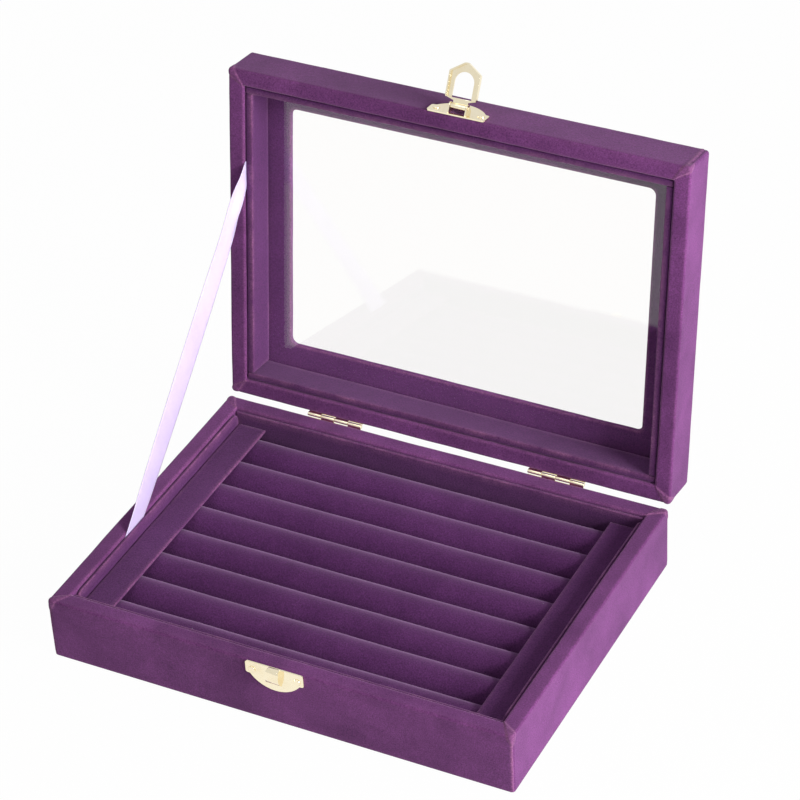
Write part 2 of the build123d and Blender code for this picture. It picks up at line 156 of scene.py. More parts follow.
class RingBoxSizes(bpy.types.PropertyGroup):
    corner_radius: length("Corner radius", "Upright corners of the case", 1.5 * MM)
    rim_radius: length("Rim radius", "Both edges of a rim", 1.0 * MM)
    lid_edge_radius: length("Lid edge radius", "Round the top of the lid", 1.0 * MM)
    bottom_edge_radius: length("Bottom edge radius", "Round the foot of the case", 0.4 * MM)
    wall: length("Wall", "Thickness of a covered wall", 7.0 * MM)
    base_turn_down: length("Base turn-down", "Velvet carried down inside the base", 14.0 * MM)
    lid_turn_down: length("Lid turn-down", "Velvet carried up inside the lid", 8.0 * MM)
    turn_under: length("Turn-under", "Velvet carried under the floor", 8.0 * MM)
    cloth: length("Cloth", "Thickness of the velvet as drawn", 0.35 * MM)
    unevenness: length("Unevenness", "How far the glued velvet waves", 0.22 * MM)
    fold_height: length("Fold height", "Step of a folded corner", 0.32 * MM)
    fold_width: length("Fold width", "Half the width of a corner fold at the edge", 2.7 * MM)
    window_length: length("Window length", "Sight size of the glass window", 160.0 * MM)
    window_width: length("Window width", "Sight size of the glass window", 107.8 * MM)
    window_radius: length("Window radius", "Corners of the glass window", 3.0 * MM)
    liner_edge: length("Liner edge", "Rounding of a covered liner's edges", 0.45 * MM)
    side_liner_radius: length("Side liner radius", "Upper corners of the side liners", 3.5 * MM)
    roll_foot_radius: length("Roll foot radius", "Lower edges of a ring roll", 2.0 * MM)
    roll_slack: length("Roll slack", "How much smaller a roll is before it swells", 0.25 * MM)
    metal_edge: length("Metal edge", "Rounding of the stamped metal's edges", 0.12 * MM)


class RingBoxColours(bpy.types.PropertyGroup):
    velvet: colour("Velvet", "Pile of the cover", (0.118, 0.029, 0.126))
    velvet_light: colour("Brushed velvet", "Pile that leans to the light", (0.240, 0.066, 0.250))
    # Lighter pile painted along rims, fold edges and the edges of covered boards: rubbed pile and painted
    # highlight.
    velvet_wear_and_highlight: colour("Worn velvet", "Pile rubbed along edges and folds", (0.34, 0.130, 0.270))
    lining: colour("Lining", "Pile of the liners and strips", (0.084, 0.020, 0.098))
    lining_light: colour("Brushed lining", "Lining pile that leans to the light", (0.140, 0.039, 0.160))
    roll: colour("Roll velvet", "Pile of the ring rolls", (0.084, 0.020, 0.099))
    roll_light: colour("Brushed roll", "Roll pile that leans to the light", (0.150, 0.042, 0.170))
    brass: colour("Brass", "Plated hinges, catch and latch", (0.97, 0.88, 0.66))
    brass_dull: colour("Dull brass", "Rubbed and tarnished plating", (0.86, 0.68, 0.38))
    ribbon: colour("Ribbon", "Satin of the stay", (0.78, 0.66, 0.97))
    ribbon_shade: colour("Ribbon shade", "Weft of the stay", (0.64, 0.52, 0.92))
    glass: colour("Glass", "Tint of the pane", (0.995, 0.988, 0.980))
    board: colour("Board", "Fibre board of walls and floor", (0.42, 0.28, 0.16))
    card: colour("Card", "Grey card of the window frame", (0.50, 0.47, 0.42))
    paper: colour("Paper", "Backing and bottom sheets", (0.035, 0.030, 0.034))
    floor: colour("Floor", "Seamless table", (0.90, 0.885, 0.875))


class RingBoxChoices(bpy.types.PropertyGroup):
    roll_frames: IntProperty(
        name="Roll frames", description="Frames of cloth simulation on each roll", default=18, min=1
    )
    roll_pressure: FloatProperty(
        name="Roll pressure", description="Pressure of the padding in the rolls", default=4.0
    )


def sizes():
    return bpy.context.scene.ring_box_sizes


def colours():
    return bpy.context.scene.ring_box_colours


# ---- Meshes ----
def mesh_object(name, points, faces, worn=None):
    """A smooth mesh object, with how much each point is painted lighter, for rubbed pile and painted
    highlight, as an attribute.
    """
    mesh = bpy.data.meshes.new(name)
    mesh.from_pydata([tuple(p) for p in points], [], faces)
    mesh.update()
    mesh.shade_smooth()
    if worn is not None:
        attribute = mesh.attributes.new("worn", "FLOAT", "POINT")
        attribute.data.foreach_set("value", np.asarray(worn, np.float32))
    thing = bpy.data.objects.new(name, mesh)
    bpy.context.scene.collection.objects.link(thing)
    return thing


def applied(thing):
    """Apply every modifier of an object to its mesh."""
    graph = bpy.context.evaluated_depsgraph_get()
    mesh = bpy.data.meshes.new_from_object(thing.evaluated_get(graph))
    old, thing.data = thing.data, mesh
    thing.modifiers.clear()
    bpy.data.meshes.remove(old)
    return thing


def edge_spaced(span, near, far, reach):
    """Shares of a side at which it is cut, closer together near its ends."""
    steps, at = [], 0.0
    while at < span / 2:
        steps.append(at / span)
        at += near if at < reach else far
    return steps + [1 - s for s in reversed(steps[1:])]


def rounded_loop(half_x, half_y, radius, cuts_x, cuts_y, corner_steps):
    """Points round a rounded rectangle, from the start of its front side."""
    radius = min(radius, half_x, half_y)
    cx, cy = half_x - radius, half_y - radius
    centres = ((cx, -cy), (cx, cy), (-cx, cy), (-cx, -cy))
    points = []
    for side in range(4):
        (ax, ay), (bx, by) = centres[side - 1], centres[side]
        out = math.radians(90 * side - 90)
        shift = (radius * math.cos(out), radius * math.sin(out))
        for share in cuts_y if side % 2 else cuts_x:
            points.append((ax + share * (bx - ax) + shift[0], ay + share * (by - ay) + shift[1]))
        for step in range(corner_steps):
            turn = out + math.radians(90) * step / corner_steps
            points.append((bx + radius * math.cos(turn), by + radius * math.sin(turn)))
    return points


def arc(centre_inset, centre_z, radius, start, end, steps):
    """Profile points (inset, z) on an arc; degrees, 0 towards the middle of the case."""
    turns = np.radians(np.linspace(start, end, steps + 1))
    return [(centre_inset + radius * math.cos(t), centre_z + radius * math.sin(t)) for t in turns]


def level_loop(z, *outline):
    """Points (x, y, z) round a rounded rectangle; outline is what rounded_loop takes."""
    return [(x, y, z) for x, y in rounded_loop(*outline)]


def run(a, b, step):
    """Profile points from a to b, without the ends, about a step apart."""
    count = max(1, round(math.dist(a, b) / step))
    return [tuple(np.array(a) + (np.array(b) - np.array(a)) * i / count) for i in range(1, count)]


def strip_faces(rows, columns, wrap=True):
    faces = []
    for r in range(rows - 1):
        for c in range(columns if wrap else columns - 1):
            d = (c + 1) % columns
            near, far = r * columns, (r + 1) * columns
            faces.append((near + c, near + d, far + d, far + c))
    return faces


def turned_outward(thing, merge=0.0):
    """Turn every face of a closed piece outward, after merging points that lie that close."""
    work = bmesh.new()
    work.from_mesh(thing.data)
    if merge:
        bmesh.ops.remove_doubles(work, verts=work.verts, dist=merge)
    bmesh.ops.recalc_face_normals(work, faces=work.faces)
    work.to_mesh(thing.data)
    work.free()


def grid_normals(grid):
    """Normals of a grid of points whose columns wrap round."""
    along = np.roll(grid, -1, axis=1) - np.roll(grid, 1, axis=1)
    across = np.empty_like(grid)
    across[1:-1] = grid[2:] - grid[:-2]
    across[0], across[-1] = grid[1] - grid[0], grid[-1] - grid[-2]
    normal = np.cross(along, across)
    return normal / np.maximum(np.linalg.norm(normal, axis=2, keepdims=True), 1e-12)


def waves(points, wavelength, seed):
    """Smooth noise from -1 to 1 at each point."""
    flat = points.reshape(-1, 3) / wavelength + seed * 7.31
    values = np.array([noise.noise(Vector(p)) for p in flat])
    return values.reshape(points.shape[:-1])


def smooth_step(low, high, value):
    t = np.clip((value - low) / (high - low), 0, 1)
    return t * t * (3 - 2 * t)


def ridge(value, width):
    return np.exp(-((value / width) ** 2))


# ---- The cover: velvet glued round a ring of walls ----
def cover_grid(profile, radius_at):
    """The cover's grid of points; profile rows are (inset_x, inset_y, z)."""
    cuts_x, cuts_y = edge_spaced(2 * HALF_X, *COVER_CUTS), edge_spaced(2 * HALF_Y, *COVER_CUTS)
    rows = []
    for inset_x, inset_y, z in profile:
        half_x, half_y = HALF_X - inset_x, HALF_Y - inset_y
        rows.append(level_loop(z, half_x, half_y, radius_at(inset_x), cuts_x, cuts_y, 8))
    return np.array(rows)


def fold_corners(grid, rim_z, seams):
    """How far each point of a cover stands out at the folded corners, and how much lighter it is painted
    there, for rubbed pile and painted highlight.

    At a corner the velvet is pleated: a wedge lies over the rim, from the inner corner out to the
    upright edge, and a seam runs down that edge. For each corner, seams gives how far its seam
    stands from the edge, the side it laps to and the size of its fold.
    """
    s = sizes()
    x, y, z = grid[..., 0], grid[..., 1], grid[..., 2]
    from_side, from_front = HALF_X - abs(x), HALF_Y - abs(y)
    across, inward = from_side - from_front, np.minimum(from_side, from_front)
    below = abs(z - rim_z)
    at_rim = 1 - smooth_step(3.0 * MM, 6.5 * MM, below)
    narrowing = 1 - 0.75 * smooth_step(0.5 * MM, 5 * MM, below)
    wedge = s.fold_width * np.clip(1 - inward / s.wall, 0.06, 1) * narrowing
    out = np.zeros(x.shape)
    worn = np.zeros(x.shape)
    outside = inward < 0.98 * s.wall
    for (sign_x, sign_y), (seam, lean, size) in seams.items():
        here = (np.sign(x) == sign_x) & (np.sign(y) == sign_y) & outside
        side = (across - seam) * lean
        within = wedge - abs(across - seam * 0.5)
        lap = size * s.fold_height * smooth_step(-0.35 * MM, 0.35 * MM, within) * at_rim
        edges = ridge(within, 0.45 * MM) * at_rim
        wall_seam = smooth_step(1.2 * MM, 3.5 * MM, below) * (inward < 0.9 * s.corner_radius)
        groove = ridge(across - seam, 0.38 * MM) * wall_seam
        lip = ridge(side - 0.9 * MM, 0.8 * MM) * wall_seam
        out += here * (lap - 0.30 * MM * groove + 0.16 * MM * lip - 0.10 * MM * edges)
        # The fold's edges, the seam's lip and the lap are painted lighter: rubbed pile and painted
        # highlight.
        worn += here * (0.55 * edges + 0.8 * lip + 0.35 * lap / s.fold_height)
    return out, np.clip(worn, 0, 1)


def cover(name, profile, radius_at, rim_z, far_z, seams, seed, place):
    """A velvet cover as an object: waved, folded at its corners, and with the cloth's thickness.

    rim_z is the height of the rim, and far_z that of the edge which the cover turns away from it.
    """
    s = sizes()
    grid = cover_grid(profile, radius_at)
    normals = grid_normals(grid)
    inset = np.minimum(HALF_X - abs(grid[..., 0]), HALF_Y - abs(grid[..., 1]))
    inside_out = (normals * grid)[inset < 0.01 * MM][:, :2].sum() < 0
    if inside_out:
        normals = -normals
    out, worn = fold_corners(grid, rim_z, seams)
    out += s.unevenness * (0.6 * waves(grid, 34 * MM, seed) + 0.4 * waves(grid, 11 * MM, seed + 1))
    if far_z < rim_z:
        out *= smooth_step(0.3 * MM, 2.5 * MM, grid[..., 2] - far_z)
    # Rims and the far edge are painted lighter: rubbed pile, and painted highlight along the rim's inner and
    # outer edges.
    near_rim = abs(grid[..., 2] - rim_z)
    rim_edge = ridge(near_rim - 0.5 * MM, 1.2 * MM) * (inset < s.wall * 1.02)
    rim_outer = rim_edge * ridge(inset - 0.5 * MM, 1.3 * MM)
    rim_inner = rim_edge * ridge(inset - (s.wall - 0.4 * MM), 0.6 * MM)
    far_edge = ridge(abs(grid[..., 2] - far_z), 1.1 * MM) * ridge(inset, 1.2 * MM)
    patchy = 0.65 + 0.5 * waves(grid, 9 * MM, seed + 2)
    worn = np.clip(worn + patchy * (0.15 * rim_outer + 0.42 * rim_inner + 0.25 * far_edge), 0, 1)
    grid = grid + normals * out[..., None]
    rows, columns = grid.shape[:2]
    faces = strip_faces(rows, columns)
    if inside_out:
        faces = [tuple(reversed(f)) for f in faces]
    thing = mesh_object(name, place(grid.reshape(-1, 3)), faces, worn.reshape(-1))
    solid = thing.modifiers.new("Cloth", "SOLIDIFY")
    solid.thickness = s.cloth
    solid.offset = -1
    return applied(thing)


def rim_profile(rim, away, turn_down):
    """From the turn-down inside, round the rim, to the outside; away from the rim is 1 or -1 in Z."""
    s = sizes()
    radius = s.rim_radius
    inner_far, inner_near = (s.wall, rim + away * turn_down), (s.wall, rim + away * radius)
    rows = [inner_far] + run(inner_far, inner_near, INSIDE_STEP)
    rows += arc(s.wall - radius, rim + away * radius, radius, 0, -90 * away, 6)
    rows += run((s.wall - radius, rim), (radius, rim), RIM_STEP)
    rows += arc(radius, rim + away * radius, radius, -90 * away, -180 * away, 6)
    return rows


def base_profile():
    """Round the rim, down the outside and under the floor."""
    s = sizes()
    rim, foot = BASE_HIGH[2], BASE_LOW[2]
    edge = s.bottom_edge_radius
    rows = rim_profile(rim, -1, s.base_turn_down)
    rows += run((0, rim - s.rim_radius), (0, foot + edge), OUTSIDE_STEP)
    rows += arc(edge, foot + edge, edge, 180, 270, 4)
    rows += run((edge, foot), (s.turn_under, foot), UNDER_STEP) + [(s.turn_under, foot)]
    return [(inset, inset, z) for inset, z in rows]


def lid_profile():
    """Round the rim, up the outside, over the top and into the window."""
    s = sizes()
    rim, top = LID_LOW[2], LID_HIGH[2]
    edge = s.lid_edge_radius
    rows = rim_profile(rim, 1, s.lid_turn_down)
    rows += run((0, rim + s.rim_radius), (0, top - edge), OUTSIDE_STEP)
    rows += arc(edge, top - edge, edge, 180, 90, 5)
    rows = [(inset, inset, z) for inset, z in rows]
    window_x, window_y = HALF_X - s.window_length / 2, HALF_Y - s.window_width / 2
    turn = 0.5 * MM
    across = [i / 9 for i in range(1, 10)]
    rows += [(edge + (window_x - turn - edge) * t, edge + (window_y - turn - edge) * t, top) for t in across]
    for t in np.radians((30, 60, 90)):
        back, down = turn * (1 - math.sin(t)), turn * (1 - math.cos(t))
        rows.append((window_x - back, window_y - back, top - down))
    rows += [(window_x, window_y, LINING_HIGH[2] + 0.02 * MM)]
    return rows


class RINGBOX_OT_cover_base(bpy.types.Operator):
    """Glue the velvet cover round the base"""

    bl_idname = "ringbox.cover_base"
    bl_label = "Cover the base"

    def execute(self, context):
        s = sizes()
        seams = {
            (1, -1): (-0.7 * MM, 1, 1.0),
            (-1, -1): (0.9 * MM, -1, 0.8),
            (1, 1): (0.6 * MM, -1, 0.9),
            (-1, 1): (-0.6 * MM, 1, 0.7),
        }
        piece = cover(
            "velvet_cover_base",
            base_profile(),
            lambda inset: max(s.corner_radius - inset, LEAST_RADIUS),
            BASE_HIGH[2],
            BASE_LOW[2],
            seams,
            1,
            as_placed,
        )
        wear(piece, cover_velvet(), "base", "velvet", "base_velvet")
        return {"FINISHED"}


class RINGBOX_OT_cover_lid(bpy.types.Operator):
    """Glue the velvet cover round the lid, over its top and into the window"""

    bl_idname = "ringbox.cover_lid"
    bl_label = "Cover the lid"

    def execute(self, context):
        s = sizes()
        window_inset = HALF_X - s.window_length / 2

        def radius_at(inset):
            if inset <= s.wall + 0.01 * MM:
                return max(s.corner_radius - inset, LEAST_RADIUS)
            share = (inset - s.wall) / (window_inset - s.wall)
            return LEAST_RADIUS + share * (s.window_radius - LEAST_RADIUS)

        seams = {
            (1, -1): (1.6 * MM, 1, 1.1),
            (-1, -1): (-0.4 * MM, -1, 0.7),
            (1, 1): (-0.5 * MM, 1, 1.0),
            (-1, 1): (0.5 * MM, -1, 0.7),
        }
        piece = cover(
            "velvet_cover_lid",
            lid_profile(),
            radius_at,
            LID_LOW[2],
            LID_HIGH[2],
            seams,
            2,
            swung_open,
        )
        wear(piece, cover_velvet(), "lid", "velvet", "lid_velvet")
        return {"FINISHED"}


# ---- Covered boards: liners, end strips and the lining round the window ----
def covered_board(name, board_size, corner, edge, seed, matrix, place):
    """A thin board wrapped in velvet: a rounded rectangle with soft edges, lying on local XY."""
    length_x, length_y, thickness = board_size
    half_x, half_y = length_x / 2, length_y / 2
    cuts_x, cuts_y = edge_spaced(length_x, *BOARD_CUTS), edge_spaced(length_y, *BOARD_CUTS)
    middle = min(half_x, half_y) - 0.01 * MM
    flat = [edge + (middle - edge) * i / 4 for i in range(5)]
    profile = [(i, 0.0) for i in reversed(flat)]
    profile += arc(edge, edge, edge, 270, 180, 4)[1:]
    profile += arc(edge, thickness - edge, edge, 180, 90, 4)
    profile += [(i, thickness) for i in flat[1:]]
    rows = []
    for inset, z in profile:
        radius = max(corner - inset, 0.1 * MM)
        rows.append(level_loop(z, half_x - inset, half_y - inset, radius, cuts_x, cuts_y, 6))
    grid = np.array(rows)
    normals = grid_normals(grid)
    outward = -1 if normals[0, 0, 2] > 0 else 1
    out = 0.10 * MM * waves(grid, 22 * MM, seed) * smooth_step(0, 2 * MM, grid[..., 2] + 1 * MM)
    grid = grid + outward * normals * out[..., None]
    inset = np.array([p[0] for p in profile])[:, None]
    height = np.array([p[1] for p in profile])[:, None]
    # The edges of the board's face are painted lighter: painted highlight and rubbed pile.
    rim = ridge(inset, 0.55 * MM) * ridge(height - thickness, 0.9 * MM)
    worn = np.clip(rim * (0.55 + 0.5 * waves(grid, 8 * MM, seed + 3)), 0, 1)
    points = grid.reshape(-1, 3) @ np.array(matrix.to_3x3()).T + np.array(matrix.translation)
    thing = mesh_object(name, place(points), strip_faces(*grid.shape[:2]), worn.reshape(-1))
    turned_outward(thing, merge=0.03 * MM)
    thing.data.shade_smooth()
    return thing


def facing(low, high, towards):
    """Size and placement of a board that fills a box, with its face towards +X, -X, +Y, -Y or +Z."""
    low, high = np.array(low), np.array(high)
    centre, size = (low + high) / 2, high - low
    axes = {
        "+x": ((0, 1, 0), (0, 0, 1), (1, 0, 0)),
        "-x": ((0, -1, 0), (0, 0, 1), (-1, 0, 0)),
        "+y": ((-1, 0, 0), (0, 0, 1), (0, 1, 0)),
        "-y": ((1, 0, 0), (0, 0, 1), (0, -1, 0)),
        "+z": ((1, 0, 0), (0, 1, 0), (0, 0, 1)),
    }[towards]
    sides = [abs(float(np.dot(size, a))) for a in axes]
    rotation = Matrix(axes).transposed().to_4x4()
    start = centre - np.array(axes[2]) * sides[2] / 2
    return sides, Matrix.Translation(Vector(start)) @ rotation


INWARD = {"left": "+x", "right": "-x", "front": "+y", "back": "-y"}


def stand_liner(part, side, seed, corner, place):
    """Stand one velvet-covered liner inside a wall of the base or of the lid."""
    node = f"{part}_liner_{side}"
    board_size, matrix = facing(*node_box(node, on_lid=part == "lid"), INWARD[side])
    name, edge = f"{part}_liner_velvet_{side}", sizes().liner_edge
    piece = covered_board(name, board_size, corner, edge, seed, matrix, place)
    wear(piece, liner_velvet(), part, "velvet", node)


class RINGBOX_OT_line_base(bpy.types.Operator):
    """Stand the four velvet-covered liners inside the base's walls"""

    bl_idname = "ringbox.line_base"
    bl_label = "Line the base"

    def execute(self, context):
        for seed, side in enumerate(INWARD, start=10):
            corner = sizes().side_liner_radius if side in ("left", "right") else LINER_CORNER
            stand_liner("base", side, seed, corner, as_placed)
        return {"FINISHED"}


class RINGBOX_OT_line_lid(bpy.types.Operator):
    """Set the four velvet-covered liners that hold the glass in the lid"""

    bl_idname = "ringbox.line_lid"
    bl_label = "Line the lid"

    def execute(self, context):
        for seed, side in enumerate(INWARD, start=20):
            stand_liner("lid", side, seed, LINER_CORNER, swung_open)
        return {"FINISHED"}


class RINGBOX_OT_lay_end_strips(bpy.types.Operator):
    """Lay the flat velvet-covered strips over the rolls' ends"""

    bl_idname = "ringbox.lay_end_strips"
    bl_label = "Lay the end strips"

    def execute(self, context):
        corner, edge = 0.4 * MM, 0.6 * MM
        for seed, side in enumerate(("left", "right"), start=30):
            node, name = f"end_strip_{side}", f"end_strip_velvet_{side}"
            board_size, matrix = facing(*node_box(node), "+z")
            piece = covered_board(name, board_size, corner, edge, seed, matrix, as_placed)
            wear(piece, liner_velvet(), "base", "velvet", node)
        return {"FINISHED"}


class RINGBOX_OT_line_window(bpy.types.Operator):
    """Glue the velvet lining behind the window's card"""

    bl_idname = "ringbox.line_window"
    bl_label = "Line the window"

    def execute(self, context):
        s = sizes()
        half_x, half_y = LINING_HIGH[0], LINING_HIGH[1]
        window = s.window_length / 2, s.window_width / 2
        low, high = LINING_LOW[2], LINING_HIGH[2]
        cuts_x, cuts_y = edge_spaced(2 * half_x, *LINING_CUTS), edge_spaced(2 * half_y, *LINING_CUTS)
        edge = 0.2 * MM
        profile = [(0.0, high)] + [(t, low) for t in (0.0, 0.15, 0.3, 0.45, 0.6, 0.75, 0.9, 0.985)]
        profile += [(1.0, low + edge), (1.0, high)]
        rows = []
        for share, z in profile:
            x, y = half_x + share * (window[0] - half_x), half_y + share * (window[1] - half_y)
            radius = 0.3 * MM + share * (s.window_radius - 0.3 * MM)
            rows.append(level_loop(z, x, y, radius, cuts_x, cuts_y, 8))
        grid = np.array(rows)
        grid[2:-2, :, 2] -= 0.04 * MM * (1 + waves(grid[2:-2], 15 * MM, 41))
        worn = np.zeros(grid.shape[:2])
        # The two rows along the window's edge are painted lighter.
        worn[-3:-1] = 0.5
        piece = mesh_object(
            "window_lining_velvet",
            swung_open(grid.reshape(-1, 3)),
            strip_faces(*grid.shape[:2]),
            worn.reshape(-1),
        )
        wear(piece, liner_velvet(), "lid", "velvet", "window_lining")
        return {"FINISHED"}


# ---- Ring rolls ----
def roll_section(half_width, low, high, foot):
    """Points (y, z) round a roll's section, from the middle of its foot."""
    spring = high - half_width
    half = [(0.0, low), (half_width * 0.45, low)]
    for t in np.radians(np.linspace(-90, 0, 4)):
        half.append((half_width - foot + foot * math.cos(t), low + foot + foot * math.sin(t)))
    for share in (1 / 3, 2 / 3):
        half.append((half_width, low + foot + (spring - low - foot) * share))
    for t in np.radians(np.linspace(0, 90, 12)):
        half.append((half_width * math.cos(t), spring + half_width * math.sin(t)))
    other = [(-y, z) for y, z in reversed(half[1:-1])]
    return np.array(half + other)


def swell(thing, held, frames, pressure):
    """Fill a roll by cloth simulation with inner pressure; held is how firmly each point stays."""
    group = thing.vertex_groups.new(name="held")
    for index, weight in enumerate(held):
        group.add([index], float(weight), "REPLACE")
    cloth = thing.modifiers.new("Padding", "CLOTH")
    for key, value in ROLL_CLOTH.items():
        setattr(cloth.settings, key, value)
    cloth.settings.uniform_pressure_force = pressure
    cloth.settings.effector_weights.gravity = 0
    cloth.collision_settings.use_collision = False
    cloth.point_cache.frame_start = 1
    cloth.point_cache.frame_end = frames
    scene = bpy.context.scene
    for number in range(1, frames + 1):
        scene.frame_set(number)
    swollen = applied(thing)
    thing.vertex_groups.clear()
    scene.frame_set(1)
    return swollen


class RINGBOX_OT_lay_rolls(bpy.types.Operator):
    """Pad and lay the eight ring rolls side by side"""

    bl_idname = "ringbox.lay_rolls"
    bl_label = "Lay the ring rolls"

    def execute(self, context):
        s = sizes()
        choices = context.scene.ring_box_choices
        for seed, node in enumerate(ROLLS):
            low, high = node_box(node)
            centre_y = (low[1] + high[1]) / 2
            slack = s.roll_slack
            half = (high[1] - low[1]) / 2
            section = roll_section(half - slack, low[2], high[2] - slack, s.roll_foot_radius)
            stations = np.linspace(low[0], high[0], ROLL_STATIONS)
            grid = np.zeros((len(stations), len(section), 3))
            grid[..., 0] = stations[:, None]
            grid[..., 1] = centre_y + section[:, 0]
            grid[..., 2] = section[:, 1]
            free = smooth_step(low[2] + 3 * MM, high[2] - 3 * MM, grid[..., 2])
            grid[..., 2] += ROLL_TOP_WAVE * free * waves(grid * (1, 0.2, 0.2), 30 * MM, 50 + seed)
            grid[..., 1] += ROLL_SIDE_WAVE * free * waves(grid * (1, 0.2, 0.2), 19 * MM, 60 + seed)
            points = grid.reshape(-1, 3)
            rows, columns = grid.shape[:2]
            faces = strip_faces(rows, columns)
            left_end, right_end = range(columns), range((rows - 1) * columns, rows * columns)
            faces += [tuple(left_end), tuple(reversed(right_end))]
            piece = mesh_object(f"roll_velvet_{node[-1]}", points, faces)
            turned_outward(piece)
            ends = (grid[..., 0] < low[0] + 2 * MM) | (grid[..., 0] > high[0] - 2 * MM)
            foot = grid[..., 2] < low[2] + 1.5 * MM
            held = np.where(ends | foot, 1.0, 0.0).reshape(-1)
            swell(piece, held, choices.roll_frames, choices.roll_pressure)
            moved = np.empty(len(points) * 3)
            piece.data.vertices.foreach_get("co", moved)
            moved = moved.reshape(-1, 3)
            step = moved - points
            reach = np.linalg.norm(step, axis=1, keepdims=True)
            print(node, "swelled by", round(float(reach.max()) / MM, 2), "mm")
            moved = points + step * np.minimum(1, MOST_SWELL / np.maximum(reach, 1e-9))
            moved[:, 1] = np.clip(moved[:, 1], low[1] - MOST_SPREAD, high[1] + MOST_SPREAD)
            moved[:, 2] = np.clip(moved[:, 2], low[2], high[2])
            piece.data.vertices.foreach_set("co", moved.reshape(-1))
            smooth = piece.modifiers.new("Smooth", "SUBSURF")
            smooth.levels = smooth.render_levels = 1
            applied(piece)
            piece.data.shade_smooth()
            wear(piece, roll_velvet(), "base", "roll_velvet", node)
        return {"FINISHED"}


# ---- Ribbon stay ----
class RINGBOX_OT_string_ribbon(bpy.types.Operator):
    """Stretch the satin ribbon between the left creases of base and lid"""

    bl_idname = "ringbox.string_ribbon"
    bl_label = "String the ribbon"

    def execute(self, context):
        corners = node_points("ribbon_stay")
        middle = corners.mean(axis=0)
        flat = (corners - middle)[:, 1:]
        along = np.linalg.svd(flat, full_matrices=False)[2][0]
        along = along if along[1] > 0 else -along
        wide = np.array([along[1], -along[0]])
        reach, width = np.ptp(flat @ along), np.ptp(flat @ wide)
        rows, columns = RIBBON_ROWS, RIBBON_COLUMNS
        grid = np.zeros((rows, columns, 3))
        t = np.linspace(0, 1, rows)[:, None]
        w = np.linspace(-1, 1, columns)[None, :]
        grid[..., 1] = middle[1] + along[0] * reach * (t - 0.5) + wide[0] * width / 2 * w
        grid[..., 2] = middle[2] + along[1] * reach * (t - 0.5) + wide[1] * width / 2 * w
        free = smooth_step(0.07, 0.13, t) * (1 - smooth_step(0.90, 0.955, t))
        arch = RIBBON_ARCH * (1 - w**2) * free
        twist = RIBBON_TWIST * w * np.sin(math.pi * t) * free
        pleat = ridge(t - 0.90, 0.06) * (1 - smooth_step(0.935, 0.962, t))
        fold = RIBBON_PLEAT * pleat * np.sin(math.pi * (w * 1.1 + 0.35))
        grid[..., 0] = middle[0] + arch + twist + fold
        points = grid.reshape(-1, 3)
        piece = mesh_object("satin_ribbon_stay", points, strip_faces(rows, columns, wrap=False))
        smooth = piece.modifiers.new("Smooth", "SUBSURF")
        smooth.levels = smooth.render_levels = 1
        solid = piece.modifiers.new("Cloth", "SOLIDIFY")
        solid.thickness = RIBBON_CLOTH
        solid.offset = 0
        applied(piece)
        paint(piece, satin())
        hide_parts("ribbon_stay")
        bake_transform(piece)
        return {"FINISHED"}


# ---- Shader groups and materials ----
def group(name, inputs, outputs):
    """A new shader node group with its sockets, and its input and output nodes."""
    tree = bpy.data.node_groups.new(name, "ShaderNodeTree")
    for label, kind, value in inputs:
        socket = tree.interface.new_socket(label, in_out="INPUT", socket_type=kind)
        socket.default_value = value
    for label, kind in outputs:
        tree.interface.new_socket(label, in_out="OUTPUT", socket_type=kind)
    return tree, tree.nodes.new("NodeGroupInput"), tree.nodes.new("NodeGroupOutput")


def set_inputs(node, values):
    for key, value in values.items():
        node.inputs[key].default_value = value


def noise_in(tree, coords, scale, detail=3.0, roughness=0.55, distortion=0.0):
    texture = tree.nodes.new("ShaderNodeTexNoise")
    set_inputs(texture, {"Detail": detail, "Roughness": roughness, "Distortion": distortion})
    tree.links.new(coords, texture.inputs["Vector"])
    if isinstance(scale, (int, float)):
        texture.inputs["Scale"].default_value = scale
    else:
        tree.links.new(scale, texture.inputs["Scale"])
    return texture.outputs["Fac"]


def ranged(tree, value, low, high, to_low=0.0, to_high=1.0):
    mapped = tree.nodes.new("ShaderNodeMapRange")
    set_inputs(mapped, {"From Min": low, "From Max": high, "To Min": to_low, "To Max": to_high})
    tree.links.new(value, mapped.inputs["Value"])
    return mapped.outputs["Result"]


def maths(tree, operation, a, b):
    """One sum on two values; each is a number or a socket."""
    made = tree.nodes.new("ShaderNodeMath")
    made.operation = operation
    for socket, value in zip(made.inputs, (a, b)):
        if isinstance(value, (int, float)):
            socket.default_value = value
        else:
            tree.links.new(value, socket)
    return made.outputs[0]


def weighted(tree, a, weight_a, b, weight_b):
    """Two values added, each times its own weight."""
    first, second = maths(tree, "MULTIPLY", a, weight_a), maths(tree, "MULTIPLY", b, weight_b)
    return maths(tree, "ADD", first, second)


def blended(tree, share, a, b, kind="MIX"):
    """Colour a with colour b over it; share is a number or a socket."""
    mix = tree.nodes.new("ShaderNodeMix")
    mix.data_type = "RGBA"
    mix.blend_type = kind
    for socket, value in ((mix.inputs[0], share), (mix.inputs[6], a), (mix.inputs[7], b)):
        if isinstance(value, (int, float, tuple)):
            socket.default_value = value
        else:
            tree.links.new(value, socket)
    return mix.outputs[2]


# Colour, roughness and height, which surfaced() feeds to a shader
SURFACE = (("Color", "NodeSocketColor"), ("Roughness", "NodeSocketFloat"), ("Height", "NodeSocketFloat"))

# Scales of the pile's patterns, in repeats per metre
CLOUDS, STREAKS, EDGE_MOTTLE, FIBRES, TUFTS, LINT, LINT_PATCHES = 26, 95, 420, 1700, 900, 150, 60


